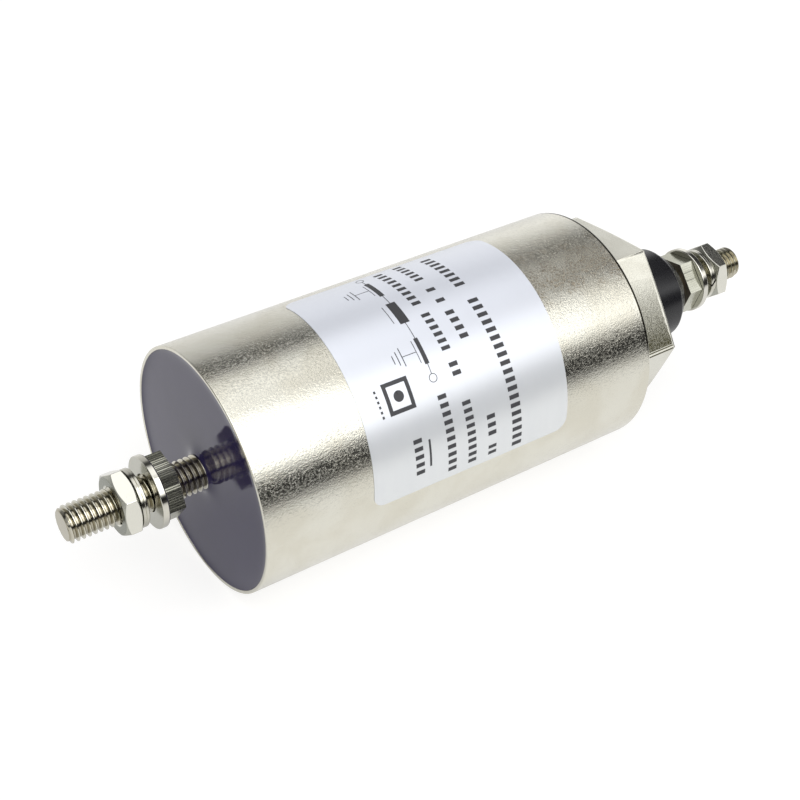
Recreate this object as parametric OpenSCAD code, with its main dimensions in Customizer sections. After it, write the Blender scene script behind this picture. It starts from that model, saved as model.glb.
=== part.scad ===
// Feedthrough capacitor with through-rod screw terminals.
// A round can, open and potted at the front, carries a hexagonal mounting
// fitting with a threaded neck at the back. One rod runs through the whole
// part, and both of its threaded ends carry two nuts, a flat washer and a
// spring washer. Inside are two ring windings with a choke core between.
//
// +X runs along the rod, from the potted end out through the neck.
// The origin is the centre of the fitting's panel face.

/* [Can] */
// Outer diameter of the can
case_d = 55; // [49.5:0.5:70]
// Length of the can, from its open rim to its end face
case_l = 100.2; // [88:0.1:140]
// Wall of the can
case_wall = 0.8; // [0.5:0.1:1.2]
// Thickness of the can's end wall
case_end_t = 1.5; // [1:0.1:3]
// Radius of the can's back edge
case_edge_r = 1; // [0.3:0.1:1.4]

/* [Mounting fitting] */
// Hexagon width across flats
hex_af = 41; // [36:0.5:48]
// Hexagon thickness
hex_t = 11.8; // [6:0.1:16]
// Turning angle of the hexagon about the rod
hex_turn = 25.2; // [0:0.1:60]
// Chamfer at the hexagon's corners, on the panel side
hex_chamfer = 0.5; // [0.2:0.1:1.5]
// Neck diameter, over its thread
neck_d = 24; // [22:0.5:30]
// Neck length from the panel face
neck_l = 4.4; // [3:0.1:12]
// Chamfer at the neck's end
neck_chamfer = 0.6; // [0.3:0.1:1.5]
// Bore through the fitting
fitting_bore_d = 16; // [13:0.5:18]
// Diameter of the spigot that is held in the can's end wall
spigot_d = 21; // [19:0.5:24]
// Length of the spigot that stands inside the can
spigot_proud = 1.2; // [0.5:0.1:1.4]

/* [Through rod] */
// Rod diameter, over its thread
rod_d = 8; // [6:0.5:9]
// Rod length in front of the can's rim
rod_front_l = 30.9; // [28:0.1:40]
// Rod length behind the panel face
rod_back_l = 40.5; // [38:0.1:60]
// Chamfer at the rod's ends
rod_chamfer = 0.7; // [0.2:0.1:1]

/* [Insulator] */
// Diameter of the insulator's head
head_d = 22.5; // [18:0.5:26]
// Height of the head's straight wall
head_wall_h = 9.8; // [2:0.1:12]
// Rise of the head's domed face above its wall
head_dome_h = 4.3; // [2:0.1:6]
// Diameter of the flat land around the rod
head_land_d = 11.5; // [10.5:0.1:14]
// Radius of the head's rim
head_rim_r = 0.9; // [0.3:0.1:1.5]

/* [Nuts and washers] */
// Nut width across flats
nut_af = 13; // [11:0.5:16]
// Nut height
nut_h = 3.8; // [2.5:0.1:4.2]
// Diameter of the nut's flat face, inside its chamfer
nut_face_d = 12.3; // [10:0.1:12.6]
// Angle of the nut's chamfer
nut_chamfer_angle = 30; // [20:1:35]
// Flat washer diameter
flat_washer_d = 16; // [13:0.5:20]
// Flat washer thickness
flat_washer_t = 1.5; // [0.8:0.1:1.8]
// Hole of the flat washer
flat_washer_hole_d = 8.4; // [8.2:0.1:9.4]
// Spring washer diameter
spring_washer_d = 12.8; // [12:0.1:15]
// Spring washer thickness
spring_washer_t = 1.6; // [1:0.1:2]
// Hole of the spring washer
spring_washer_hole_d = 8.2; // [8.2:0.1:9]
// Width of the spring washer's split
spring_washer_split = 0.4; // [0.2:0.1:1.5]

/* [Places of the nuts and washers] */
// Bare thread between the potting and the front inner nut
front_bare_l = 7.2; // [1:0.1:8]
// Room for a cable lug at the front, between flat and spring washer
front_lug_gap = 2.1; // [0.3:0.1:4]
// Gap between the insulator's land and the back inner nut
back_bare_l = 1.5; // [0.2:0.1:3]
// Gap between the back inner nut and its flat washer
back_washer_gap = 0.1; // [0.1:0.1:2]
// Room for a cable lug at the back, between flat and spring washer
back_lug_gap = 2.7; // [0.3:0.1:4]
// Turning angle of the front inner nut
front_inner_turn = 39.5; // [0:0.5:60]
// Turning angle of the front outer nut
front_outer_turn = 55.5; // [0:0.5:60]
// Turning angle of the back inner nut
back_inner_turn = 20.5; // [0:0.5:60]
// Turning angle of the back outer nut
back_outer_turn = 51.5; // [0:0.5:60]
// Turning angle of the front spring washer's split
front_split_turn = 60; // [0:1:359]
// Turning angle of the back spring washer's split
back_split_turn = 262; // [0:1:359]

/* [Windings and choke] */
// Radial gap between the windings and the liner
winding_gap = 1.7; // [0.2:0.1:4]
// Outer diameter of the winding's tube
winding_tube_d = 15; // [12:0.5:20]
// Length of the choke core
choke_l = 26; // [10:0.5:28]
// Radial gap between the choke core and the liner
choke_gap = 4.2; // [0.5:0.1:6]
// Hole of the choke core
choke_hole_d = 16; // [12:0.5:20]
// Thickness of the insulating discs
disc_t = 1.5; // [0.8:0.1:2]
// Thickness of the contact discs
contact_t = 0.4; // [0.2:0.1:0.6]
// Step from the windings' outside in to the contact discs on the rod
rod_contact_step = 3.5; // [1:0.1:8]
// Hole of the contact rings on the can
case_contact_hole_d = 24; // [18:0.5:30]
// Thickness of the paper liner in the can
liner_t = 0.5; // [0.2:0.1:0.8]

/* [Potting] */
// Depth of the potting's surface below the rim
potting_sink = 0.3; // [0:0.1:1]
// Thickness of the potting
potting_t = 9.6; // [3:0.1:12]

/* [Label] */
// Distance from the can's rim to the label
label_from_rim = 26.6; // [5:0.5:40]
// Length of the label along the can
label_l = 51.2; // [20:0.5:60]
// Angle at which the label starts
label_start = 158.5; // [0:0.5:360]
// Angle that the label covers around the can
label_sweep = 119; // [40:1:200]
// Thickness of the label
label_t = 0.1; // [0.05:0.01:0.2]

/* [Clearances] */
// Radial clearance of the nuts on the rod
thread_clear = 0.05; // [0.02:0.01:0.1]
// Radial clearance of the pieces that are slid over the rod
slide_clear = 0.2; // [0.1:0.05:0.4]
// Radial gap that the label's glue fills
label_clear = 0.06; // [0.02:0.01:0.1]
// Radial clearance of what is potted or pressed in
seat_clear = 0.03; // [0.01:0.01:0.05]

/* [Hidden] */
$fn = 96;

// Radii
case_r = case_d / 2;
case_in_r = case_r - case_wall;
fitting_bore_r = fitting_bore_d / 2;
neck_r = neck_d / 2;
spigot_r = spigot_d / 2;
rod_r = rod_d / 2;
head_r = head_d / 2;
land_r = head_land_d / 2;
hex_corner_r = hex_af / 2 / cos(30);
nut_corner_r = nut_af / 2 / cos(30);
rod_hole_r = rod_r + slide_clear;
packed_r = case_in_r - seat_clear;
liner_in_r = packed_r - liner_t;
winding_r = liner_in_r - winding_gap;
choke_r = liner_in_r - choke_gap;
rod_contact_r = winding_r - rod_contact_step;
winding_bore_r = winding_tube_d / 2 + seat_clear;

// How far a cut reaches past the faces that it opens
cut = 1;

// Stations along the rod, measured from the panel face
case_back_z = -hex_t;
case_floor_z = case_back_z - case_end_t;
rim_z = case_back_z - case_l;
potting_z = rim_z + potting_sink;

// The two windings share what the discs, contacts and choke leave of the can
stack_l = case_floor_z - spigot_proud - potting_z - potting_t;
winding_w = (stack_l - choke_l - 4 * disc_t - 4 * contact_t) / 2;

// The stack inside the can, from its floor towards the potting
back_disc_z = case_floor_z - spigot_proud - disc_t;
back_case_contact_z = back_disc_z - contact_t;
back_winding_z = back_case_contact_z - winding_w;
back_rod_contact_z = back_winding_z - contact_t;
back_choke_disc_z = back_rod_contact_z - disc_t;
choke_z = back_choke_disc_z - choke_l;
front_choke_disc_z = choke_z - disc_t;
front_rod_contact_z = front_choke_disc_z - contact_t;
front_winding_z = front_rod_contact_z - winding_w;
front_case_contact_z = front_winding_z - contact_t;
front_disc_z = front_case_contact_z - disc_t;

// The front terminal, from the potting outwards
front_inner_nut_z = rim_z - front_bare_l - nut_h;
front_flat_washer_z = front_inner_nut_z - flat_washer_t;
front_spring_washer_z = front_flat_washer_z - front_lug_gap - spring_washer_t;
front_outer_nut_z = front_spring_washer_z - nut_h;

// The back terminal, from the insulator outwards
land_z = neck_l + head_wall_h + head_dome_h;
back_inner_nut_z = land_z + back_bare_l;
back_flat_washer_z = back_inner_nut_z + nut_h + back_washer_gap;
back_spring_washer_z = back_flat_washer_z + flat_washer_t + back_lug_gap;
back_outer_nut_z = back_spring_washer_z + spring_washer_t;

// Turns a piece that was drawn along Z so that it lies along +X
module along_x() {
    rotate([0, 90, 0]) children();
}

// A plain ring between two radii
module ring(outer_r, inner_r, height) {
    difference() {
        cylinder(r = outer_r, h = height);
        translate([0, 0, -cut]) cylinder(r = inner_r, h = height + 2 * cut);
    }
}

// A turned solid from an outline of [radius, height] points
module turned(outline) {
    rotate_extrude() polygon(outline);
}

// The can: a drawn cup with a rounded back edge and a hole for the spigot
module case() {
    color([0.78, 0.77, 0.72])
    along_x() difference() {
        rotate_extrude() case_outline();
        translate([0, 0, rim_z - cut]) cylinder(r = case_in_r, h = case_floor_z - rim_z + cut);
        translate([0, 0, case_floor_z - cut]) cylinder(r = spigot_r + seat_clear, h = case_end_t + 2 * cut);
    }
}

// Half section of the can's outside, with its back edge as an arc
module case_outline() {
    steps = 8;
    corner = [for (i = [0 : steps]) let (a = 90 * i / steps)
        [case_r - case_edge_r + case_edge_r * cos(a), case_back_z - case_edge_r + case_edge_r * sin(a)]];
    polygon(concat([[0, rim_z], [case_r, rim_z]], corner, [[0, case_back_z]]));
}

// Hexagon, threaded neck and the spigot in the can, turned from one bar
module mounting_fitting() {
    color([0.74, 0.73, 0.68])
    along_x() difference() {
        union() {
            intersection() {
                translate([0, 0, case_back_z]) rotate(hex_turn)
                    cylinder(r = hex_corner_r, h = hex_t, $fn = 6);
                turned([
                    [0, case_back_z - cut],
                    [hex_corner_r + cut, case_back_z - cut],
                    [hex_corner_r + cut, -hex_chamfer],
                    [hex_corner_r, -hex_chamfer],
                    [hex_corner_r - 1.5 * hex_chamfer, 0],
                    [0, 0]
                ]);
            }
            turned([
                [0, -hex_t / 2],
                [neck_r, -hex_t / 2],
                [neck_r, neck_l - neck_chamfer],
                [neck_r - neck_chamfer, neck_l],
                [0, neck_l]
            ]);
            translate([0, 0, case_floor_z - spigot_proud])
                cylinder(r = spigot_r, h = case_end_t + spigot_proud + hex_t / 2);
        }
        translate([0, 0, case_floor_z - spigot_proud - cut])
            cylinder(r = fitting_bore_r, h = neck_l - case_floor_z + spigot_proud + 2 * cut);
    }
}

// One rod through the whole part, threaded at both ends
module through_rod() {
    color([0.72, 0.70, 0.64])
    along_x() turned([
        [0, rim_z - rod_front_l],
        [rod_r - rod_chamfer, rim_z - rod_front_l],
        [rod_r, rim_z - rod_front_l + rod_chamfer],
        [rod_r, rod_back_l - rod_chamfer],
        [rod_r - rod_chamfer, rod_back_l],
        [0, rod_back_l]
    ]);
}

// Moulded bushing: a sleeve in the fitting's bore and a domed head
module insulator_bushing() {
    color([0.09, 0.09, 0.10])
    along_x() difference() {
        rotate_extrude() insulator_outline();
        translate([0, 0, case_floor_z - spigot_proud - cut])
            cylinder(r = rod_r + seat_clear, h = land_z - case_floor_z + spigot_proud + 2 * cut);
    }
}

// Half section of the bushing: its head's face is an elliptic dome
module insulator_outline() {
    steps = 10;
    wall_top = neck_l + head_wall_h;
    rim = [for (i = [0 : 4]) let (a = 60 * i / 4)
        [head_r - head_rim_r + head_rim_r * cos(a), wall_top - head_rim_r + head_rim_r * sin(a)]];
    from = rim[4];
    dome = [for (i = [1 : steps]) let (t = i / steps)
        [from[0] + (land_r - from[0]) * t, from[1] + (land_z - from[1]) * sin(90 * t)]];
    polygon(concat(
        [[0, case_floor_z - spigot_proud], [fitting_bore_r - seat_clear, case_floor_z - spigot_proud]],
        [[fitting_bore_r - seat_clear, neck_l], [head_r, neck_l]],
        rim, dome, [[0, land_z]]));
}

// Resin that closes the can's open end around the rod
module potting_resin() {
    color([0.16, 0.15, 0.19])
    along_x() translate([0, 0, potting_z])
        ring(packed_r, rod_r + seat_clear, front_disc_z - potting_z);
}

// Label wrapped part of the way round the can
module label() {
    color([0.83, 0.86, 0.89])
    along_x() translate([0, 0, rim_z + label_from_rim]) rotate(label_start)
        rotate_extrude(angle = label_sweep) translate([case_r + label_clear, 0]) square([label_t, label_l]);
}

// Thin hexagon nut, chamfered on both faces
module nut(turn) {
    slope = tan(nut_chamfer_angle);
    face_r = nut_face_d / 2;
    reach = nut_corner_r + cut;
    drop = (reach - face_r) * slope;
    difference() {
        intersection() {
            rotate(turn) cylinder(r = nut_corner_r, h = nut_h, $fn = 6);
            turned([[0, 0], [face_r, 0], [reach, drop], [reach, nut_h - drop], [face_r, nut_h], [0, nut_h]]);
        }
        translate([0, 0, -cut]) cylinder(r = rod_r + thread_clear, h = nut_h + 2 * cut);
    }
}

// Thin hexagon nut, milled square on both faces
module square_nut(turn) {
    difference() {
        rotate(turn) cylinder(r = nut_corner_r, h = nut_h, $fn = 6);
        translate([0, 0, -cut]) cylinder(r = rod_r + thread_clear, h = nut_h + 2 * cut);
    }
}

// Spring washer: a ring with one slanted split
module spring_washer(split_turn) {
    difference() {
        ring(spring_washer_d / 2, spring_washer_hole_d / 2, spring_washer_t);
        rotate(split_turn) translate([spring_washer_d / 2, 0, spring_washer_t / 2]) rotate([40, 0, 0])
            cube([spring_washer_d, spring_washer_split, 3 * spring_washer_t], center = true);
    }
}

module front_inner_nut() {
    color([0.62, 0.61, 0.57]) along_x() translate([0, 0, front_inner_nut_z]) square_nut(front_inner_turn);
}

module front_flat_washer() {
    color([0.80, 0.79, 0.75])
    along_x() translate([0, 0, front_flat_washer_z])
        ring(flat_washer_d / 2, flat_washer_hole_d / 2, flat_washer_t);
}

module front_spring_washer() {
    color([0.76, 0.75, 0.71]) along_x() translate([0, 0, front_spring_washer_z]) spring_washer(front_split_turn);
}

module front_outer_nut() {
    color([0.80, 0.79, 0.75]) along_x() translate([0, 0, front_outer_nut_z]) nut(front_outer_turn);
}

module back_inner_nut() {
    color([0.62, 0.61, 0.57]) along_x() translate([0, 0, back_inner_nut_z]) square_nut(back_inner_turn);
}

module back_flat_washer() {
    color([0.80, 0.79, 0.75])
    along_x() translate([0, 0, back_flat_washer_z])
        ring(flat_washer_d / 2, flat_washer_hole_d / 2, flat_washer_t);
}

module back_spring_washer() {
    color([0.76, 0.75, 0.71]) along_x() translate([0, 0, back_spring_washer_z]) spring_washer(back_split_turn);
}

module back_outer_nut() {
    color([0.80, 0.79, 0.75]) along_x() translate([0, 0, back_outer_nut_z]) nut(back_outer_turn);
}

// Ring winding of metallised film
module winding(z) {
    along_x() translate([0, 0, z]) ring(winding_r, winding_bore_r, winding_w);
}

// Tube on which the film is wound, slid over the rod
module winding_tube(z) {
    along_x() translate([0, 0, z]) ring(winding_tube_d / 2, rod_hole_r, winding_w);
}

// Contact disc from a winding's inner face to the rod
module rod_contact(z) {
    along_x() translate([0, 0, z]) ring(rod_contact_r, rod_r + seat_clear, contact_t);
}

// Contact ring from a winding's outer face to the can's wall
module case_contact(z) {
    along_x() translate([0, 0, z]) ring(packed_r, case_contact_hole_d / 2, contact_t);
}

// Insulating disc across the can
module insulating_disc(z, outer_r) {
    along_x() translate([0, 0, z]) ring(outer_r, rod_hole_r, disc_t);
}

module front_winding() {
    color([0.86, 0.84, 0.76]) winding(front_winding_z);
}

module front_winding_tube() {
    color([0.93, 0.93, 0.90]) winding_tube(front_winding_z);
}

module front_rod_contact() {
    color([0.85, 0.72, 0.42]) rod_contact(front_rod_contact_z);
}

module front_case_contact() {
    color([0.85, 0.72, 0.42]) case_contact(front_case_contact_z);
}

module back_winding() {
    color([0.86, 0.84, 0.76]) winding(back_winding_z);
}

module back_winding_tube() {
    color([0.93, 0.93, 0.90]) winding_tube(back_winding_z);
}

module back_rod_contact() {
    color([0.85, 0.72, 0.42]) rod_contact(back_rod_contact_z);
}

module back_case_contact() {
    color([0.85, 0.72, 0.42]) case_contact(back_case_contact_z);
}

// Ferrite ring around the rod, between the two windings
module choke_core() {
    color([0.22, 0.22, 0.23])
    along_x() translate([0, 0, choke_z]) ring(choke_r, choke_hole_d / 2, choke_l);
}

// Insulating sleeve that centres the choke core on the rod
module choke_sleeve() {
    color([0.93, 0.93, 0.90])
    along_x() translate([0, 0, choke_z]) ring(choke_hole_d / 2 - seat_clear, rod_hole_r, choke_l);
}

module front_insulating_disc() {
    color([0.60, 0.42, 0.28]) insulating_disc(front_disc_z, packed_r);
}

module front_choke_disc() {
    color([0.60, 0.42, 0.28]) insulating_disc(front_choke_disc_z, liner_in_r - seat_clear);
}

module back_choke_disc() {
    color([0.60, 0.42, 0.28]) insulating_disc(back_choke_disc_z, liner_in_r - seat_clear);
}

module back_insulating_disc() {
    color([0.60, 0.42, 0.28]) insulating_disc(back_disc_z, packed_r);
}

// Paper liner between the two contact rings
module case_liner() {
    color([0.80, 0.70, 0.52])
    along_x() translate([0, 0, front_winding_z])
        ring(packed_r, liner_in_r, back_case_contact_z - front_winding_z);
}

case();
mounting_fitting();
through_rod();
insulator_bushing();
potting_resin();
label();
front_inner_nut();
front_flat_washer();
front_spring_washer();
front_outer_nut();
back_inner_nut();
back_flat_washer();
back_spring_washer();
back_outer_nut();
front_winding();
front_winding_tube();
front_rod_contact();
front_case_contact();
back_winding();
back_winding_tube();
back_rod_contact();
back_case_contact();
choke_core();
choke_sleeve();
front_insulating_disc();
front_choke_disc();
back_choke_disc();
back_insulating_disc();
case_liner();
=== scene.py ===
"""Dressed model of a feedthrough capacitor with through-rod screw terminals."""

import logging
import math
import random
from dataclasses import dataclass, field
from enum import Enum
from functools import reduce

import bmesh
import bpy
from bmesh.types import BMesh
from bpy.types import ID, Material, Mesh, Node, NodeOutputs, NodeSocket as Socket, NodeTree, Object, World
from mathutils import Matrix, Vector


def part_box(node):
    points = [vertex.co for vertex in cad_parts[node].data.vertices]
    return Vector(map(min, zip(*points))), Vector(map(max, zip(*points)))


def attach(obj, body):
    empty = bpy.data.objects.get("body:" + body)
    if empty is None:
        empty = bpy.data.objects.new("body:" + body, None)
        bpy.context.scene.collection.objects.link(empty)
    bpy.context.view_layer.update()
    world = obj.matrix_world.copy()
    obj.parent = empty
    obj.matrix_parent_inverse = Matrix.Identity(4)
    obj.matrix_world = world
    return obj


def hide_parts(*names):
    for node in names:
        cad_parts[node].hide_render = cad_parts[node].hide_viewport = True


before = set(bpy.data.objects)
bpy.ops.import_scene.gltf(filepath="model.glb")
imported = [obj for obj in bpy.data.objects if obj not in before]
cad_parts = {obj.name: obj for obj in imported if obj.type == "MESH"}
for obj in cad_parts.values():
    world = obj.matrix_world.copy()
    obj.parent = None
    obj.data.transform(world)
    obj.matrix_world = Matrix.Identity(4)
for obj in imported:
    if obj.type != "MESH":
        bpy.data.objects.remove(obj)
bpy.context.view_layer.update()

LOG = logging.getLogger("feedthrough_capacitor")
MM = 0.001
BODY = "root"
TURN = 2 * math.pi
SIXTH = math.pi / 3
ROUND_STEPS = 192
RIB_STEPS = 252
RIB_SHARE = 3
RIB_REACH = math.radians(28)
CORNER_STEPS = 4
BEVEL_STEPS = 2
BEVEL_FROM = math.radians(25)
GUARD = 0.02
MERGE = 1e-7

Point2 = tuple[float, float]
Triple = tuple[float, float, float]


class Side(Enum):
    """Which way along the rod a terminal points."""

    FRONT = -1
    BACK = 1


# ---- Node graphs ----


@dataclass(frozen=True)
class Noise:
    """One layer of noise on the piece."""

    scale: float
    octaves: float = 3.0
    rough: float = 0.55
    bend: float = 0.0
    stretch: Triple = (1, 1, 1)


class Graph:
    """Thin typed wrapper that adds and links nodes in one tree."""

    def __init__(self, tree: NodeTree) -> None:
        """Keeps the tree that the nodes go into."""
        self.tree = tree

    def add(self, kind: str, inputs: dict | None = None, **settings: object) -> Node:
        """Adds a node.

        Args:
            kind: The node's type name.
            inputs: Socket name or number to a value, or to a socket to link from.
            **settings: Properties of the node itself.

        Returns:
            The new node.
        """
        node = self.tree.nodes.new(kind)
        for name, value in settings.items():
            setattr(node, name, value)
        for name, value in (inputs or {}).items():
            if isinstance(value, Socket):
                self.tree.links.new(value, node.inputs[name])
            else:
                node.inputs[name].default_value = value
        return node

    def math(self, operation: str, *values: object) -> Socket:
        """Adds a Math node and returns the result's socket."""
        return self.add("ShaderNodeMath", dict(enumerate(values)), operation=operation).outputs[0]

    def mul(self, *values: object) -> Socket:
        """Multiplies values or sockets from left to right."""
        return reduce(lambda a, b: self.math("MULTIPLY", a, b), values)

    def plus(self, *values: object) -> Socket:
        """Adds values or sockets from left to right."""
        return reduce(lambda a, b: self.math("ADD", a, b), values)

    def minus(self, a: object, b: object) -> Socket:
        """Subtracts b from a."""
        return self.math("SUBTRACT", a, b)

    def blend(self, factor: object, a: object, b: object) -> Socket:
        """Mixes two floats. The factor is the share of b."""
        return self.add("ShaderNodeMix", {0: factor, 2: a, 3: b}, data_type="FLOAT").outputs[0]

    def tint(self, factor: object, a: object, b: object) -> Socket:
        """Mixes two colours, or colour sockets. The factor is the share of b."""
        a, b = (c if isinstance(c, Socket) else (*c, 1.0) for c in (a, b))
        return self.add("ShaderNodeMix", {0: factor, 6: a, 7: b}, data_type="RGBA").outputs[2]

    def span(self, value: object, from_lo: float, from_hi: float, lo: float = 0.0, hi: float = 1.0,
             smooth: bool = False) -> Socket:
        """Maps from_lo and from_hi onto lo and hi, and clamps the result."""
        return self.add("ShaderNodeMapRange", {0: value, 1: from_lo, 2: from_hi, 3: lo, 4: hi}, clamp=True,
                        interpolation_type="SMOOTHSTEP" if smooth else "LINEAR").outputs[0]

    def ramp(self, value: object, stops: list[Point2]) -> Socket:
        """Adds a grey colour ramp.

        Args:
            value: The factor's socket.
            stops: Positions and grey values.

        Returns:
            The colour's socket.
        """
        node = self.add("ShaderNodeValToRGB", {0: value})
        elements = node.color_ramp.elements
        while len(elements) < len(stops):
            elements.new(0.5)
        for element, (position, grey) in zip(elements, stops):
            element.position = position
            element.color = (grey, grey, grey, 1.0)
        return node.outputs[0]

    def noise(self, layer: Noise) -> Socket:
        """Adds a noise texture.

        Args:
            layer: What the noise is like.

        Returns:
            The value's socket.
        """
        return self.add("ShaderNodeTexNoise", {
            "Vector": self.place(layer.stretch), "Scale": layer.scale, "Detail": layer.octaves,
            "Roughness": layer.rough, "Distortion": layer.bend}).outputs[0]

    def place(self, stretch: Triple = (1, 1, 1)) -> Socket:
        """Object coordinates in millimetres, stretched on each axis."""
        return self.add("ShaderNodeMapping", {"Vector": self.add("ShaderNodeTexCoord").outputs["Object"],
                                              "Scale": tuple(s / MM for s in stretch)}).outputs[0]

    def axes(self, vector: Socket | None = None) -> NodeOutputs:
        """Sockets of X, Y and Z of a vector, or else of the place in millimetres."""
        return self.add("ShaderNodeSeparateXYZ", {0: self.place() if vector is None else vector}).outputs

    def bump(self, height: Socket, depth_mm: float, strength: float = 1.0, under: Socket | None = None) -> Socket:
        """Adds a bump.

        Args:
            height: The height's socket.
            depth_mm: Depth that a height of 1 stands for.
            strength: Strength of the bump.
            under: Normal that the bump is laid on.

        Returns:
            The normal's socket.
        """
        inputs = {"Height": height, "Strength": strength, "Distance": depth_mm * MM}
        if under is not None:
            inputs["Normal"] = under
        return self.add("ShaderNodeBump", inputs).outputs[0]


def blank(owner: Material | World) -> NodeTree:
    """Gives a material or world an empty node tree.

    Args:
        owner: The material or world.

    Returns:
        The tree.
    """
    owner.use_nodes = True
    owner.node_tree.nodes.clear()
    return owner.node_tree


class Skin(Graph):
    """Graph of a material, with its shader."""

    def __init__(self, tree: NodeTree) -> None:
        """Adds the shader and the material's output.

        Args:
            tree: The material's empty tree.
        """
        super().__init__(tree)
        self.shader = self.add("ShaderNodeBsdfPrincipled")
        self.add("ShaderNodeOutputMaterial", {0: self.shader.outputs[0]})

    def set(self, **values: object) -> None:
        """Sets inputs that stay constant. A low line in a name stands for a blank."""
        for name, value in values.items():
            self.shader.inputs[name.replace("_", " ")].default_value = value

    def coat(self, *sockets: Socket) -> None:
        """Links base colour, roughness and normal, or the first of them."""
        for name, socket in zip(("Base Color", "Roughness", "Normal"), sockets):
            self.tree.links.new(socket, self.shader.inputs[name])

    def under(self) -> tuple[Socket, ...]:
        """What an earlier layer linked: base colour, roughness and normal."""
        return tuple(self.shader.inputs[name].links[0].from_socket for name in ("Base Color", "Roughness", "Normal"))


# ---- Finishes ----
# A constant given to span is the range that comes in, then the one that goes
# out, where that isn't 0 to 1. A GLOSS is the range that comes in, and how far
# the roughness goes below and above the finish's own.


@dataclass(frozen=True)
class Finish:
    """A surface finish. Each kind says how its shader is wired."""

    name: str
    colour: Triple
    roughness: float

    def material(self) -> Material:
        """Builds the material.

        Returns:
            The finished material.
        """
        made = bpy.data.materials.new(self.name)
        skin = Skin(blank(made))
        skin.set(Base_Color=(*self.colour, 1.0), Roughness=self.roughness)
        self.wire(skin)
        return made

    def wire(self, skin: Skin) -> None:
        """Wires the shader of a material's skin."""
        raise NotImplementedError

    def gloss(self, skin: Skin, value: Socket, over: Point2, down: float, up: float) -> Socket:
        """Roughness from down below the finish's own to up above it, as a value goes over a range."""
        return skin.span(value, *over, self.roughness - down, self.roughness + up)


@dataclass(frozen=True)
class PlatedMetal(Finish):
    """Nickel plate: mottled grain, drawing lines, cloudy tint and gloss."""

    tint: Triple
    grain_mm: float
    grain_depth: float
    line_stretch: Triple
    gloss_swing: float
    tint_share: float = 0.35
    grain_stretch: Triple = (1.0, 1.0, 1.0)
    line_depth: float = 0.004
    face_dull: float = 0.0
    face_gloss: float = 0.16
    face_tint: Triple = (0.30, 0.31, 0.26)

    CLOUDS = Noise(0.09, 3.0, 0.5, 0.4)
    CLOUDY = (0.35, 0.68, 0.0)
    SPECKLED = (0.35, 0.7, 0.0, 0.35)
    SWING_OVER = (0.3, 0.7)
    SQUARE = (0.8, 0.9)
    LEAST_GLOSS = 0.04

    def wire(self, skin: Skin) -> None:
        """Wires grain, lines, tint and gloss, duller on faces square to the rod.

        Args:
            skin: Skin of the material.
        """
        skin.set(Metallic=1.0)
        grain = skin.noise(Noise(1 / self.grain_mm, 5.0, 0.62, stretch=self.grain_stretch))
        lines = skin.noise(Noise(1.0, 4.0, 0.6, stretch=self.line_stretch))
        clouds = skin.noise(self.CLOUDS)
        share = skin.plus(skin.span(clouds, *self.CLOUDY, self.tint_share, smooth=True),
                          skin.mul(skin.span(grain, *self.SPECKLED), self.tint_share))
        normal = skin.axes(skin.add("ShaderNodeNewGeometry").outputs["True Normal"])
        square = skin.mul(skin.span(skin.math("ABSOLUTE", normal[0]), *self.SQUARE), self.face_dull)
        swing = skin.plus(*(skin.span(value, *self.SWING_OVER, -most, most) for value, most in (
            (grain, self.gloss_swing), (clouds, self.gloss_swing / 2))))
        gloss = skin.plus(swing, skin.plus(self.roughness, skin.mul(square, self.face_gloss)))
        height = skin.plus(skin.mul(grain, self.grain_depth), skin.mul(lines, self.line_depth))
        skin.coat(skin.tint(square, skin.tint(share, self.colour, self.tint), self.face_tint),
                  skin.math("MAXIMUM", gloss, self.LEAST_GLOSS), skin.bump(height, 1.0))


@dataclass(frozen=True)
class CanPlate(PlatedMetal):
    """Plate on the drawn can: small pits, a scuffed patch, and a painted shadow along the upper part of its back
    edge, where it meets the hexagon.
    """

    pit_depth: float = 0.016
    pit_mm: float = 0.42
    pit_gloss: float = 0.22
    scuff_depth: float = 0.04
    scuff_tint: Point2 = (0.12, 0.85)
    scuff_colour: Triple = (0.25, 0.205, 0.14)
    scuff_x: Point2 = (-58.0, -46.0)
    scuff_y: Point2 = (-1.0, -5.0)
    scuff_z: Point2 = (20.8, 22.8)
    painted_shadow_x: Point2 = (-12.5, -12.4)
    painted_shadow_z: Point2 = (5.0, 9.0)
    painted_shadow_colour: Triple = (0.03, 0.028, 0.018)

    PATCHES = Noise(0.2, 3.0, 0.6)
    PATCHY = (0.42, 0.56, 0.2)
    PITTED = (0.50, 0.72)
    WORN = (0.46, 0.60)

    def wire(self, skin: Skin) -> None:
        """Adds pits, patch and the painted shadow at the back edge to what the plain plate has.

        Args:
            skin: Skin of the material.
        """
        super().wire(skin)
        plain, gloss, normal = skin.under()
        holes = skin.noise(Noise(1 / self.pit_mm, 4.0, 0.7, stretch=(0.8, 1.0, 1.0)))
        pits = skin.span(holes, *self.PITTED)
        x, y, z = skin.axes()
        scuff = skin.mul(skin.span(skin.noise(self.PATCHES), *self.PATCHY), skin.span(x, *self.scuff_x),
                         skin.span(y, *self.scuff_y), skin.span(z, *self.scuff_z))
        depth = skin.span(scuff, 0.0, 1.0, -self.pit_depth, -self.scuff_depth)
        # Painted shadow: darkens the upper part of the can's back edge, where the hexagon meets it.
        seam = skin.mul(skin.span(z, *self.painted_shadow_z), skin.span(x, *self.painted_shadow_x))
        worn = skin.mul(scuff, skin.span(holes, *self.WORN, *self.scuff_tint))
        skin.coat(skin.tint(seam, skin.tint(worn, plain, self.scuff_colour), self.painted_shadow_colour),
                  skin.plus(gloss, skin.mul(pits, self.pit_gloss)),
                  skin.bump(skin.mul(pits, depth), 1.0, under=normal))


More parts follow.
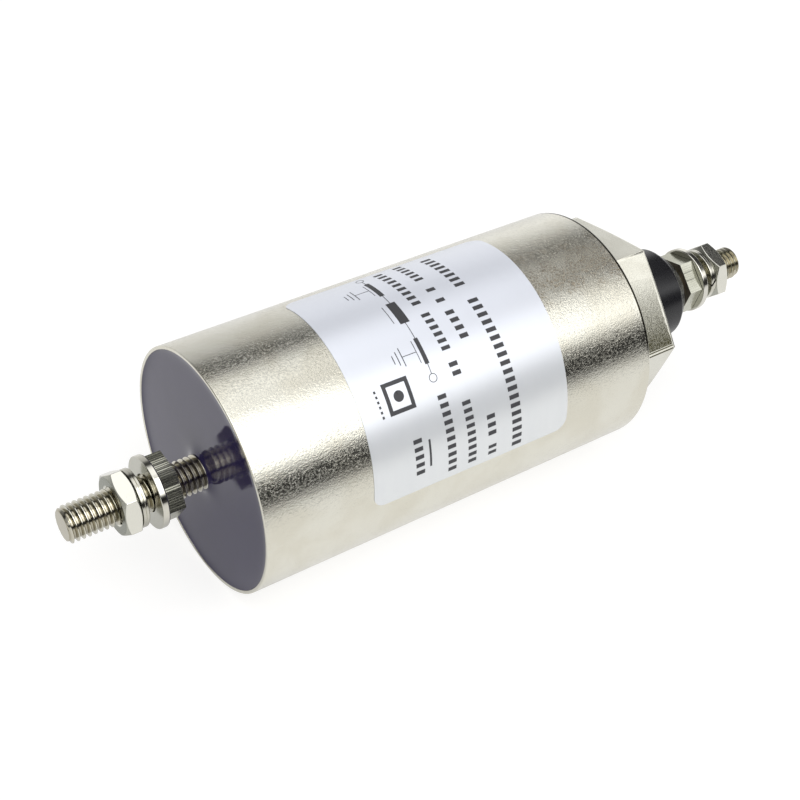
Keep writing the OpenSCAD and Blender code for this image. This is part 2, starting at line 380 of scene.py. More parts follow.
@dataclass(frozen=True)
class ThreadPlate(PlatedMetal):
    """Plate on the rod: dull and brownish in the roots of the thread."""

    root_colour: Triple = (0.46, 0.43, 0.34)
    crest_r: Point2 = (3.42, 3.90)

    def wire(self, skin: Skin) -> None:
        """Darkens the roots after the plain plate is wired.

        Args:
            skin: Skin of the material.
        """
        super().wire(skin)
        off = skin.add("ShaderNodeVectorMath", {0: skin.place((0.0, 1.0, 1.0))}, operation="LENGTH").outputs[1]
        skin.coat(skin.tint(skin.span(off, *self.crest_r), self.root_colour, skin.under()[0]))


@dataclass(frozen=True)
class HexagonPlate(PlatedMetal):
    """Plate on the hexagon: two of its flats keep the rough skin of the bar, with painted shade that darkens it
    further down each flat.
    """

    flat_angle: float = math.radians(235.2)
    flat_reach: float = 20.35
    skin_from: float = -5.4
    skin_lean: float = 0.10
    skin_depth: float = 0.28
    skin_gloss: float = 0.08
    skin_and_shade_colour: Triple = (0.07, 0.064, 0.026)
    skin_to: float = 9.6
    skin_end: float = 10.75
    score_at: Point2 = (11.05, 11.72)
    score_w: float = 0.4
    burr_x: float = -0.95
    burr_wobble: float = 0.9

    PITS = Noise(2.2, 6.0, 0.7)
    BURR = Noise(0.9)
    SKIN_EDGE = 0.1
    SHALLOWEST = 0.08
    PIT_BASE = 0.4
    DARK_PITS = (0.38, 0.6, 0.66)
    SCORE_SHARE = 0.95

    def wire(self, skin: Skin) -> None:
        """Adds rough skin with painted shade that grows further down the flat, scored lines and a bright burr to what
        the plain plate has.

        Args:
            skin: Skin of the material.
        """
        super().wire(skin)
        plain, gloss, normal = skin.under()
        x, y, z = skin.axes()
        sine, cosine = math.sin(self.flat_angle), math.cos(self.flat_angle)
        out = skin.plus(skin.mul(y, sine), skin.mul(z, -cosine))
        down = skin.plus(skin.mul(y, cosine), skin.mul(z, sine))
        edge = skin.minus(down, skin.mul(x, self.skin_lean))
        pits = skin.noise(self.PITS)
        wobble = skin.mul(skin.minus(skin.noise(self.BURR), 0.5), self.burr_wobble)
        on_flat = skin.mul(skin.math("GREATER_THAN", skin.math("ABSOLUTE", out), self.flat_reach),
                           skin.math("LESS_THAN", skin.plus(x, wobble), self.burr_x))
        rough = skin.mul(on_flat, skin.span(edge, self.skin_from - self.SKIN_EDGE, self.skin_from + self.SKIN_EDGE),
                         skin.math("LESS_THAN", down, self.skin_end))
        # Painted shade: the skin's dark tint, with its pits, grows from skin_from to skin_to down the flat, and its
        # bump deepens there too.
        depth = skin.span(edge, self.skin_from, self.skin_to, self.SHALLOWEST)
        height = skin.mul(rough, self.skin_depth, skin.plus(pits, self.PIT_BASE), depth)
        share = skin.mul(rough, depth, skin.span(pits, *self.DARK_PITS))
        for score in self.score_at:
            near = skin.math("ABSOLUTE", skin.minus(down, score))
            mark = skin.mul(on_flat, skin.span(near, self.score_w / 2, self.score_w / 4, 0.0, self.SCORE_SHARE))
            share = skin.math("MAXIMUM", share, mark)
        skin.coat(skin.tint(share, plain, self.skin_and_shade_colour),
                  skin.plus(gloss, skin.mul(rough, self.skin_gloss)), skin.bump(height, 1.0, under=normal))


@dataclass(frozen=True)
class Moulding(Finish):
    """Moulded plastic with a faint orange skin and dusty gloss."""

    dust: Triple

    SKIN = Noise(2.0)
    SKIN_DEPTH = 0.006
    DUST = Noise(2.6, 6.0, 0.7)
    DUSTY = (0.58, 0.75, 0.0, 0.35)
    GLOSS = ((0.3, 0.8), 0.05, 0.15)

    def wire(self, skin: Skin) -> None:
        """Wires skin and dust.

        Args:
            skin: Skin of the material.
        """
        dust = skin.noise(self.DUST)
        skin.coat(skin.tint(skin.span(dust, *self.DUSTY), self.colour, self.dust),
                  self.gloss(skin, dust, *self.GLOSS), skin.bump(skin.noise(self.SKIN), self.SKIN_DEPTH))


@dataclass(frozen=True)
class CastResin(Finish):
    """Poured resin: glossy skin with slow waves and small bubbles below it."""

    deep: Triple

    WAVES = Noise(0.11, 2.0, stretch=(0.0, 1.0, 1.0))
    WAVE_DEPTH = 0.03
    CLOUDS = Noise(0.35, 4.0, 0.6)
    CLOUDY = (0.3, 0.7, 0.0, 0.7)
    SPECKS = Noise(3.2, 2.0)
    SPECKLED = (0.66, 0.75, 0.0, 0.3)
    SPECK_HEIGHT = 0.03
    GLOSS = ((0.2, 0.8), 0.0, 0.08)

    def wire(self, skin: Skin) -> None:
        """Wires waves, clouds and specks.

        Args:
            skin: Skin of the material.
        """
        skin.set(IOR=1.55)
        clouds, specks = skin.noise(self.CLOUDS), skin.noise(self.SPECKS)
        share = skin.plus(skin.span(clouds, *self.CLOUDY), skin.span(specks, *self.SPECKLED))
        height = skin.plus(skin.noise(self.WAVES), skin.mul(specks, self.SPECK_HEIGHT))
        skin.coat(skin.tint(share, self.colour, self.deep), self.gloss(skin, clouds, *self.GLOSS),
                  skin.bump(height, self.WAVE_DEPTH))


@dataclass(frozen=True)
class LabelFilm(Finish):
    """Satin polyester film, faintly creased by the metal under it."""

    shade: Triple
    painted_sky_colour: Triple = (0.84, 0.87, 0.95)
    painted_sky_z: Point2 = (6.0, 25.0)

    RIPPLES = Noise(0.35, 3.0, stretch=(1.0, 0.35, 0.35))
    RIPPLED = (0.3, 0.7, 0.0, 0.6)
    RIPPLE_DEPTH = 0.02
    FIBRES = Noise(5.0)
    GLOSS = ((0.2, 0.8), 0.01, 0.01)

    def wire(self, skin: Skin) -> None:
        """Wires the film's grain, slow ripples and a painted bluish sky reflection on its top.

        Args:
            skin: Skin of the material.
        """
        skin.set(Metallic=0.32, Coat_Weight=0.35, Coat_Roughness=0.26)
        ripples = skin.noise(self.RIPPLES)
        plain = skin.tint(skin.span(ripples, *self.RIPPLED), self.colour, self.shade)
        # Painted reflection: the film turns bluer and lighter towards its top, as if it reflected the sky.
        skin.coat(skin.tint(skin.span(skin.axes()[2], *self.painted_sky_z), plain, self.painted_sky_colour),
                  self.gloss(skin, skin.noise(self.FIBRES), *self.GLOSS), skin.bump(ripples, self.RIPPLE_DEPTH))


@dataclass(frozen=True)
class Fibrous(Finish):
    """Board, paper, sheet and other matt inner stock with lines or fibres."""

    shade: Triple
    scale: float
    stretch: Triple = (1.0, 1.0, 1.0)
    metallic: float = 0.0

    SHADED = (0.35, 0.7)
    GLOSS = ((0.2, 0.8), 0.1, 0.1)
    FIBRE_DEPTH = 0.04

    def wire(self, skin: Skin) -> None:
        """Wires fibres as tint, gloss and bump.

        Args:
            skin: Skin of the material.
        """
        skin.set(Metallic=self.metallic)
        fibres = skin.noise(Noise(self.scale, 5.0, 0.65, stretch=self.stretch))
        skin.coat(skin.tint(skin.span(fibres, *self.SHADED), self.colour, self.shade),
                  self.gloss(skin, fibres, *self.GLOSS), skin.bump(fibres, self.FIBRE_DEPTH))


@dataclass(frozen=True)
class WoundFilm(Finish):
    """End face of a winding: fine rings of sprayed metal."""

    shade: Triple = (0.5, 0.47, 0.4)

    GLOSS = ((0.0, 1.0), 0.1, 0.1)
    RING_DEPTH = 0.03
    RING_STRENGTH = 0.6

    def wire(self, skin: Skin) -> None:
        """Wires rings around the rod.

        Args:
            skin: Skin of the material.
        """
        rings = skin.add("ShaderNodeTexWave", {
            "Vector": skin.place(), "Scale": 1.1, "Distortion": 0.6, "Detail": 2.0},
            wave_type="RINGS", rings_direction="X").outputs[1]
        skin.coat(skin.tint(rings, self.colour, self.shade), self.gloss(skin, rings, *self.GLOSS),
                  skin.bump(rings, self.RING_DEPTH, self.RING_STRENGTH))


class Shop:
    """Every finish on the part, by its slot, and the thread cutter."""

    PLAN = (
        CanPlate("can_plate", (0.80, 0.785, 0.70), 0.09, tint=(0.66, 0.62, 0.50), grain_mm=0.24,
                 grain_stretch=(0.6, 1.0, 1.0), grain_depth=0.030, line_stretch=(0.25, 1.3, 1.3), line_depth=0.022,
                 gloss_swing=0.05),
        HexagonPlate("fitting_plate", (0.76, 0.75, 0.67), 0.20, tint=(0.56, 0.54, 0.46), tint_share=0.4,
                     grain_mm=0.35, grain_depth=0.014, line_stretch=(4.0, 0.5, 0.5), line_depth=0.014,
                     gloss_swing=0.08),
        ThreadPlate("rod_plate", (0.72, 0.71, 0.64), 0.12, tint=(0.50, 0.45, 0.31), tint_share=0.5, grain_mm=0.3,
                    grain_depth=0.006, line_stretch=(0.3, 3.0, 3.0), gloss_swing=0.05),
        PlatedMetal("nut_plate", (0.86, 0.855, 0.79), 0.11, tint=(0.66, 0.64, 0.54), tint_share=0.3, grain_mm=0.4,
                    grain_depth=0.008, line_stretch=(3.0, 0.6, 0.6), line_depth=0.005, gloss_swing=0.05,
                    face_dull=0.95, face_tint=(0.23, 0.24, 0.20)),
        PlatedMetal("milled_nut_plate", (0.64, 0.64, 0.56), 0.17, tint=(0.42, 0.42, 0.34), tint_share=0.7,
                    grain_mm=0.2, grain_depth=0.008, line_stretch=(0.14, 2.3, 2.3), line_depth=0.012,
                    gloss_swing=0.06, face_dull=0.7, face_tint=(0.40, 0.33, 0.25), face_gloss=0.42),
        PlatedMetal("washer_plate", (0.78, 0.77, 0.71), 0.06, tint=(0.60, 0.57, 0.47), tint_share=0.4,
                    grain_mm=0.6, grain_depth=0.003, line_stretch=(1.0, 1.0, 1.0), line_depth=0.003,
                    gloss_swing=0.02, face_dull=0.45),
        PlatedMetal("spring_plate", (0.74, 0.73, 0.67), 0.09, tint=(0.52, 0.50, 0.41), tint_share=0.5,
                    grain_mm=0.3, grain_depth=0.004, line_stretch=(4.0, 0.7, 0.7), gloss_swing=0.03,
                    face_dull=0.6),
        Moulding("insulator_plastic", (0.006, 0.006, 0.008), 0.24, dust=(0.05, 0.05, 0.055)),
        CastResin("resin", (0.030, 0.024, 0.074), 0.05, deep=(0.018, 0.014, 0.054)),
        LabelFilm("label_film", (0.80, 0.82, 0.83), 0.26, shade=(0.76, 0.78, 0.80)),
        Moulding("print_ink", (0.045, 0.045, 0.05), 0.45, dust=(0.10, 0.10, 0.11)),
        WoundFilm("film_winding", (0.80, 0.78, 0.70), 0.40),
        Moulding("tube_plastic", (0.80, 0.80, 0.76), 0.40, dust=(0.6, 0.6, 0.56)),
        Fibrous("contact_sheet", (0.70, 0.50, 0.24), 0.30, shade=(0.55, 0.36, 0.16), scale=0.8, metallic=1.0),
        Fibrous("disc_board", (0.34, 0.19, 0.10), 0.60, shade=(0.24, 0.12, 0.06), stretch=(1, 0.3, 2), scale=1.2),
        Fibrous("liner_paper", (0.60, 0.46, 0.27), 0.75, shade=(0.48, 0.35, 0.19), stretch=(0.3, 1, 1), scale=1.4),
        Fibrous("ferrite", (0.05, 0.05, 0.055), 0.50, shade=(0.09, 0.09, 0.10), scale=2.2),
    )

    def __init__(self) -> None:
        """Makes every material and the thread tree once."""
        self.made = {finish.name: finish.material() for finish in self.PLAN}
        self.threads = ThreadTree()

    def cut(self, slot: str, *sizes: object) -> Mesh:
        """Cuts a thread with a finish's name and the fields of Thread."""
        return self.threads.cut(Thread(*sizes), self.made[slot])

    def dress(self, item: Object, slot: str) -> None:
        """Gives an object one finish."""
        item.data.materials.clear()
        item.data.materials.append(self.made[slot])

    def seat(self, item: Object, slot: str, node: str = "", record_slot: str = "") -> None:
        """Dresses a new piece and puts it into the frame.

        Args:
            item: The piece.
            slot: Name of its finish.
            node: CAD node that it stands for, if it stands for one.
            record_slot: Not used.
        """
        self.dress(item, slot)
        if node:
            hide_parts(node)
        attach(item, BODY)
        LOG.info("%s: %d faces, %s", item.name, len(item.data.polygons), slot)


# ---- Mesh making ----


def arc_corner(before: Point2, corner: Point2, after: Point2, radius: float) -> list[Point2]:
    """Rounds one corner of an outline.

    Args:
        before: Point before the corner.
        corner: The corner.
        after: Point after the corner.
        radius: Radius of the rounding.

    Returns:
        The points that take the corner's place.
    """
    c = Vector(corner)
    a, b = (Vector(before) - c).normalized(), (Vector(after) - c).normalized()
    half = a.angle(b) / 2
    reach = radius / math.tan(half)
    middle = c + (a + b).normalized() * (radius / math.sin(half))
    start, end = c + a * reach - middle, c + b * reach - middle
    step = -start.angle_signed(end) / CORNER_STEPS
    arc = [tuple(middle + Matrix.Rotation(step * i, 2) @ start) for i in range(CORNER_STEPS + 1)]
    return [tuple(c + a * (reach + GUARD)), *arc, tuple(c + b * (reach + GUARD))]


def rounded(outline: list[Triple]) -> list[Point2]:
    """Rounds the corners of a closed outline.

    Args:
        outline: Station, radius and rounding of each corner.

    Returns:
        The outline's points.
    """
    points: list[Point2] = []
    for i, (*corner, fillet) in enumerate(outline):
        after = outline[(i + 1) % len(outline)]
        points += arc_corner(outline[i - 1][:2], corner, after[:2], fillet) if fillet else [tuple(corner)]
    return points


def on_axis(x: float, radius: float, angle: float) -> Vector:
    """A place in metres, by mm along the rod, mm off it, and radians from straight down towards +Y."""
    return Vector((x, radius * math.sin(angle), -radius * math.cos(angle))) * MM


def reach_of(node: str) -> Point2:
    """Stations where a CAD node starts and ends along the rod, in mm."""
    low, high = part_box(node)
    return low.x / MM, high.x / MM


def linked(name: str, data: ID) -> Object:
    """Makes an object and links it to the scene.

    Args:
        name: Its name.
        data: Its mesh, lamp or camera.

    Returns:
        The object.
    """
    item = bpy.data.objects.new(name, data)
    bpy.context.scene.collection.objects.link(item)
    return item


def clean(bm: BMesh) -> None:
    """Merges doubled points, drops empty faces and turns all faces outwards.

    Args:
        bm: The bmesh.
    """
    bmesh.ops.remove_doubles(bm, verts=bm.verts, dist=MERGE)
    bmesh.ops.dissolve_degenerate(bm, edges=bm.edges, dist=MERGE / 10)
    bmesh.ops.recalc_face_normals(bm, faces=bm.faces)


def mesh_of(name: str, bm: BMesh) -> Mesh:
    """Turns a bmesh into a mesh.

    Args:
        name: The mesh's name.
        bm: The shape. It is freed.

    Returns:
        The mesh.
    """
    mesh = bpy.data.meshes.new(name)
    bm.to_mesh(mesh)
    bm.free()
    return mesh


def piece_of(name: str, mesh: Mesh, sharp: float) -> Object:
    """Links a mesh as an object with smooth faces between its sharp edges.

    Args:
        name: Name of the object.
        mesh: Its mesh.
        sharp: Angle in degrees past which an edge is sharp.

    Returns:
        The object.
    """
    mesh.polygons.foreach_set("use_smooth", [True] * len(mesh.polygons))
    mesh.set_sharp_from_angle(angle=math.radians(sharp))
    return linked(name, mesh)


def finish_mesh(name: str, bm: BMesh, sharp: float) -> Object:
    """Cleans a bmesh and links it as an object, with sharp as in piece_of."""
    clean(bm)
    return piece_of(name, mesh_of(name, bm), sharp)


def join_meshes(name: str, meshes: list[Mesh], sharp: float) -> Object:
    """Joins closed meshes into one object.

    Args:
        name: Name of the object.
        meshes: The meshes. They are removed.
        sharp: Angle in degrees past which an edge is sharp.

    Returns:
        The object.
    """
    whole = bmesh.new()
    for mesh in meshes:
        part = bmesh.new()
        part.from_mesh(mesh)
        clean(part)
        cleaned = mesh_of("clean", part)
        whole.from_mesh(cleaned)
        for used in (cleaned, mesh):
            bpy.data.meshes.remove(used)
    return piece_of(name, mesh_of(name, whole), sharp)


def bridge(bm: BMesh, rings: list[list[Vector]], closed: bool) -> None:
    """Adds the skin between neighbouring rings of points, and none along the rod's axis.

    Args:
        bm: The bmesh that it is added to.
        rings: Places in metres, equally many in each ring.
        closed: Whether the last ring meets the first. If not, both are capped.
    """
    made = [[bm.verts.new(place) for place in ring] for ring in rings]
    for here, there in zip(made, made[1:] + made[:closed]):
        for a, b, c, d in zip(here, here[1:] + here[:1], there[1:] + there[:1], there):
            if any(a.co.yz) or any(b.co.yz):
                bm.faces.new((a, b, c, d))
    if not closed:
        bm.faces.new(made[0])
        bm.faces.new(made[-1][::-1])


def lathe(bm: BMesh, outline: list[Point2], steps: int = ROUND_STEPS) -> None:
    """Adds a closed turned ring about the rod, from the stations and radii of its section, in mm."""
    bridge(bm, [[on_axis(x, r, TURN * i / steps) for x, r in outline] for i in range(steps)], True)


def turned_piece(name: str, outline: list[Point2], sharp: float) -> Object:
    """A turned piece as an object of its own.

    Args:
        name: Name of the object.
        outline: Station and radius of each point of the section, in mm.
        sharp: Angle in degrees past which an edge is sharp.

    Returns:
        The object.
    """
    bm = bmesh.new()
    lathe(bm, outline)
    return finish_mesh(name, bm, sharp)


def hexagon(apothem: float, turn: float, layers: list[tuple], rib_depth: float = 0.0) -> BMesh:
    """A closed ring whose outer layers follow a hexagon, cut by a cone.

    Args:
        apothem: Half the width across flats, in mm.
        turn: Angle of a corner, in degrees. It also seeds the grooves.
        layers: Station, radius and whether the hexagon follows, around the
            section. A layer that follows gives, in place of its radius, how
            far its station moves per mm past the apothem, and may add by how
            much it lies inside the flats.
        rib_depth: Greatest depth of the grooves that a coarse cut leaves
            across the flats, in mm.

    Returns:
        The ring.
    """
    steps = RIB_STEPS if rib_depth else ROUND_STEPS
    dice = random.Random(round(turn))
    rings = []
    for i in range(steps):
        angle = TURN * i / steps
        bend = (angle + SIXTH / 2) % SIXTH - SIXTH / 2
        reach = apothem / math.cos(bend)
        if rib_depth and i % RIB_SHARE == 0 and abs(bend) < RIB_REACH:
            reach -= rib_depth * dice.uniform(0.5, 1.0)
        ring = []
        for x, value, follows, *inset in layers:
            if follows:
                x, value = x + value * (reach - apothem), reach - sum(inset)
            ring.append(on_axis(x, value, angle + math.radians(turn) + SIXTH / 2))
        rings.append(ring)
    bm = bmesh.new()
    bridge(bm, rings, True)
    return bm


def evaluated(item: Object) -> Mesh:
    """A plain new mesh of what an object's modifiers make."""
    bpy.context.view_layer.update()
    return bpy.data.meshes.new_from_object(item.evaluated_get(bpy.context.evaluated_depsgraph_get()))


def soften(item: Object, width: float) -> None:
    """Bevels the sharp edges of a piece.

    Args:
        item: The piece.
        width: Width of the bevel, in mm.
    """
    bevel = item.modifiers.new("edge_bevel", "BEVEL")
    bevel.width = width * MM
    bevel.segments = BEVEL_STEPS
    bevel.limit_method = "ANGLE"
    bevel.angle_limit = BEVEL_FROM
    bevel.harden_normals = True
    solid = evaluated(item)
    item.modifiers.remove(bevel)
    old, item.data = item.data, solid
    bpy.data.meshes.remove(old)


# ---- Threads ----


@dataclass(frozen=True)
class Thread:
    """Sizes of one right-hand V thread, in mm, with a chamfer for each end."""

    start: float
    end: float
    pitch: float
    major: float
    root: float
    chamfers: Point2
    steps: int = 72


class ThreadTree:
    """Geometry Nodes tree that cuts a right-hand V thread along the rod.

    A grid is rolled into a spiral. Rows that would lie past an end fold in
    onto its face, which closes it.
    """

    INPUTS = {
        "Float": ("Start", "End", "Pitch", "Major Radius", "Root Radius", "Start Chamfer", "End Chamfer"),
        "Int": ("Turns", "Steps Around"),
        "Material": ("Finish",),
    }
    ROWS_PER_TURN = 16.0
    SPARE_TURNS = 3
    LEAD_TURNS = 2.0
    FLANK = (0.25, 0.875)
    FACE_PITCHES = 0.9
    PAST_SEAM = 1e-5
    PAST_END = 1e-9
    WELD = 1e-6

    def __init__(self) -> None:
        """Builds the tree."""
        self.tree = bpy.data.node_groups.new("v_thread", "GeometryNodeTree")
        self.tree.is_modifier = True
        for kind, names in self.INPUTS.items():
            for name in names:
                self.tree.interface.new_socket(name=name, in_out="INPUT", socket_type=f"NodeSocket{kind}")
        self.tree.interface.new_socket(name="Geometry", in_out="OUTPUT", socket_type="NodeSocketGeometry")
        graph = Graph(self.tree)
        given = graph.add("NodeGroupInput").outputs
        start, end, pitch, major, root = (given[name] for name in self.INPUTS["Float"][:5])
        shape = graph.add("GeometryNodeMeshGrid", {
            "Size X": 1.0, "Size Y": 1.0, "Vertices X": graph.plus(given["Steps Around"], 1.0),
            "Vertices Y": graph.plus(graph.mul(given["Turns"], self.ROWS_PER_TURN), 1.0)}).outputs[0]
        spot = graph.axes(graph.add("GeometryNodeInputPosition").outputs[0])
        around = graph.plus(spot[0], 0.5)
        turns = graph.mul(graph.plus(spot[1], 0.5), given["Turns"])
        raw = graph.plus(graph.mul(graph.plus(graph.minus(turns, self.LEAD_TURNS), around), pitch), start)
        held = graph.math("MINIMUM", graph.math("MAXIMUM", raw, start), end)
        saw = graph.minus(graph.math("FRACT", graph.plus(turns, self.PAST_SEAM)), 0.5)
        crest = graph.span(graph.mul(graph.math("ABSOLUTE", saw), 2.0), *self.FLANK)
        ridge = graph.plus(root, graph.mul(crest, graph.minus(major, root)))
        for name, sign in (("Start", 1.0), ("End", -1.0)):
            away = graph.mul(graph.minus(held, given[name]), sign)
            cone = graph.plus(away, graph.minus(major, given[f"{name} Chamfer"]))
            ridge = graph.math("MINIMUM", ridge, cone)
        past = graph.math("ABSOLUTE", graph.minus(raw, held))
        shrink = graph.span(graph.math("DIVIDE", past, pitch), 0.0, self.FACE_PITCHES, 1.0, 0.0)
        face = graph.mul(graph.math("MINIMUM", root, ridge), shrink)
        radius = graph.blend(graph.math("GREATER_THAN", past, self.PAST_END), ridge, face)
        angle = graph.mul(around, TURN)
        place = graph.add("ShaderNodeCombineXYZ", {
            0: held, 1: graph.mul(radius, graph.math("COSINE", angle)),
            2: graph.mul(radius, graph.math("SINE", angle))})
        for kind, inputs in (
                ("GeometryNodeSetPosition", {"Position": place.outputs[0]}),
                ("GeometryNodeMergeByDistance", {"Distance": self.WELD}),
                ("GeometryNodeRealizeInstances", {}),
                ("GeometryNodeSetMaterial", {"Material": given["Finish"]})):
            shape = graph.add(kind, {"Geometry": shape, **inputs}).outputs[0]
        graph.add("NodeGroupOutput", {0: shape})

    def cut(self, thread: Thread, finish: Material) -> Mesh:
        """Cuts one thread.

        Args:
            thread: Its sizes.
            finish: Its material.

        Returns:
            The thread as a plain closed mesh.
        """
        host = linked("thread_host", bpy.data.meshes.new("thread_host"))
        modifier = host.modifiers.new("thread", "NODES")
        modifier.node_group = self.tree
        sizes = (thread.start, thread.end, thread.pitch, thread.major, thread.root, *thread.chamfers)
        values = {name: size * MM for name, size in zip(self.INPUTS["Float"], sizes)}
        values["Turns"] = math.ceil((thread.end - thread.start) / thread.pitch) + self.SPARE_TURNS
        values |= {"Steps Around": thread.steps, "Finish": finish}
        for socket in self.tree.interface.items_tree:
            if socket.in_out == "INPUT":
                modifier[socket.identifier] = values[socket.name]
        mesh = evaluated(host)
        bpy.data.objects.remove(host)
        return mesh


# ---- Sub-assemblies ----


@dataclass
class Assembly:
    """A sub-assembly. Each kind says which pieces it has."""

    shop: Shop

    def build(self) -> None:
        """Builds, dresses and seats the pieces."""
        raise NotImplementedError


@dataclass
class Can(Assembly):
    """The drawn can and the resin that closes it."""

    radius: float = 27.5
    wall: float = 0.8
    floor_t: float = 1.5
    edge_r: float = 0.3
    rim_inner_r: float = 0.22
    floor_inner_r: float = 0.6
    hole_r: float = 10.53
    resin_sink: float = 0.3
    resin_deep: float = 9.0
    resin_gap: float = 0.02
    stud_overlap: float = 0.3
    resin_steps: int = 120
    # Each meniscus by its height and by how fast it falls off
    meniscus: Point2 = (0.28, 0.9)
    stud_meniscus: Point2 = (0.7, 1.2)
    meniscus_base: float = 0.12
    stud_r: float = 4.0

    def resin(self, rim: float) -> list[Point2]:
        """Section of the poured resin, drawn up at the wall and at the rod.

        Args:
            rim: Station of the can's rim, in mm.

        Returns:
            Stations and radii of the section's points.
        """
        outer, inner = self.radius - self.wall - self.resin_gap, self.stud_r - self.stud_overlap
        level = rim + self.resin_sink
        (rise_a, length_a), (rise_b, length_b) = self.meniscus, self.stud_meniscus
        face = []
        for i in range(self.resin_steps + 1):
            r = outer + (inner - outer) * i / self.resin_steps
            rise = max(rise_a * math.exp((r - outer) / length_a),
                       rise_b * math.exp(-max(r - self.stud_r, 0.0) / length_b))
            face.append((level + self.meniscus_base - rise, r))
        deep = level + self.resin_deep
        return face + [(deep, inner), (deep, outer)]

    def build(self) -> None:
        """Builds the cup, with a rounded back edge and rim, and the resin."""
        rim, back = reach_of("case")
        inner, floor = self.radius - self.wall, back - self.floor_t
        shell = turned_piece("can_shell", rounded([
            (rim, inner, self.rim_inner_r), (rim, self.radius, self.edge_r), (back, self.radius, self.edge_r),
            (back, self.hole_r, 0.0), (floor, self.hole_r, 0.0), (floor, inner, self.floor_inner_r)]), sharp=35)
        self.shop.seat(shell, "can_plate", "case")
        self.shop.seat(turned_piece("resin_fill", self.resin(rim), sharp=50), "resin", "potting_resin")


@dataclass
class Fitting(Assembly):
    """Hexagon, threaded neck and spigot, turned from one bar."""

    apothem: float = 20.5
    turn: float = 25.2
    corner_slope: float = 0.12
    edge_w: float = 0.45
    edge_drop: float = 0.16
    edge_bevel: float = 0.13
    face_inset: float = 0.5
    neck_r: float = 12.0
    neck_root_r: float = 11.39
    neck_chamfers: Point2 = (0.7, 0.6)
    neck_pitch: float = 1.0
    neck_steps: int = 144
    neck_overlap: float = 0.4
    overlap: float = 1.0
    relief_r: float = 11.2
    relief_l: float = 0.9
    bore_r: float = 8.0
    spigot_r: float = 10.5

    def build(self) -> None:
        """Builds the fitting."""
        (spigot_end, neck_end), back = reach_of("mounting_fitting"), reach_of("case")[1]
        bm = hexagon(self.apothem, self.turn, [
            (back, self.bore_r, False), (back, 0.0, True), (-self.edge_w, -self.corner_slope, True),
            (0.0, -self.corner_slope, True, self.edge_drop), (0.0, self.apothem - self.face_inset, False),
            (0.0, self.bore_r, False)])
        bmesh.ops.recalc_face_normals(bm, faces=bm.faces)
        block = piece_of("hexagon_block", mesh_of("hexagon", bm), sharp=25)
        soften(block, self.edge_bevel)
        rest = bmesh.new()
        for start, end, radius in ((-self.overlap, self.relief_l, self.relief_r),
                                   (spigot_end, back + self.overlap, self.spigot_r)):
            lathe(rest, [(start, self.bore_r), (start, radius), (end, radius), (end, self.bore_r)])
        neck = self.shop.cut("fitting_plate", self.relief_l - self.neck_overlap, neck_end, self.neck_pitch,
                             self.neck_r, self.neck_root_r, self.neck_chamfers, self.neck_steps)
        mesh = block.data.copy()
        bpy.data.objects.remove(block)
        piece = join_meshes("threaded_fitting", [mesh, mesh_of("collar", rest), neck], sharp=12)
        self.shop.seat(piece, "fitting_plate", "mounting_fitting")


@dataclass
class Insulator(Assembly):
    """Moulded bushing with a domed head."""

    dome_h: float = 4.3
    head_r: float = 11.25
    head_edge: float = 0.25
    land_r: float = 5.75
    rim_r: float = 0.9
    rim_sweep: float = math.radians(60)
    sleeve_r: float = 7.95
    bore_r: float = 4.03
    gap: float = 0.02

    RIM_STEPS = 8
    DOME_STEPS = 24

    def outline(self) -> list[Point2]:
        """Section of the bushing.

        Returns:
            Stations and radii of the section's points.
        """
        end, land = reach_of("insulator_bushing")
        base = reach_of("mounting_fitting")[1] + self.gap
        points = [(end, self.bore_r), (end, self.sleeve_r), (base, self.sleeve_r),
                  (base, self.head_r - self.head_edge), (base + self.head_edge, self.head_r)]
        for i in range(self.RIM_STEPS + 1):
            a = self.rim_sweep * i / self.RIM_STEPS
            points.append((land - self.dome_h - self.rim_r * (1 - math.sin(a)),
                           self.head_r - self.rim_r * (1 - math.cos(a))))
        from_x, from_r = points[-1]
        for i in range(1, self.DOME_STEPS + 1):
            t = i / self.DOME_STEPS
            points.append((from_x + (land - from_x) * math.sin(TURN / 4 * t), from_r + (self.land_r - from_r) * t))
        return points + [(land, self.bore_r)]

    def build(self) -> None:
        """Builds the bushing."""
        piece = turned_piece("domed_bushing", self.outline(), sharp=38)
        self.shop.seat(piece, "insulator_plastic", "insulator_bushing")


@dataclass
class Rod(Assembly):
    """The through rod, threaded at both ends."""

    front_thread_end: float = -108.0
    back_thread_start: float = 12.0
    pitch: float = 1.25
    major: float = 4.0
    root: float = 3.28
    chamfer: float = 0.7
    shank_r: float = 3.6
    shank_steps: int = 96
    overlap: float = 1.0

    def build(self) -> None:
        """Builds the rod."""
        front, back = reach_of("through_rod")
        sizes = (self.pitch, self.major, self.root)
        front_end, back_end = (self.shop.cut("rod_plate", *span, *sizes, chamfers) for span, chamfers in (
            ((front, self.front_thread_end), (self.chamfer, 0.0)),
            ((self.back_thread_start, back), (0.0, self.chamfer))))
        start, end = self.front_thread_end - self.overlap, self.back_thread_start + self.overlap
        bm = bmesh.new()
        lathe(bm, [(start, 0.0), (start, self.shank_r), (end, self.shank_r), (end, 0.0)], self.shank_steps)
        piece = join_meshes("threaded_rod", [front_end, mesh_of("shank", bm), back_end], sharp=50)
        self.shop.seat(piece, "rod_plate", "through_rod")


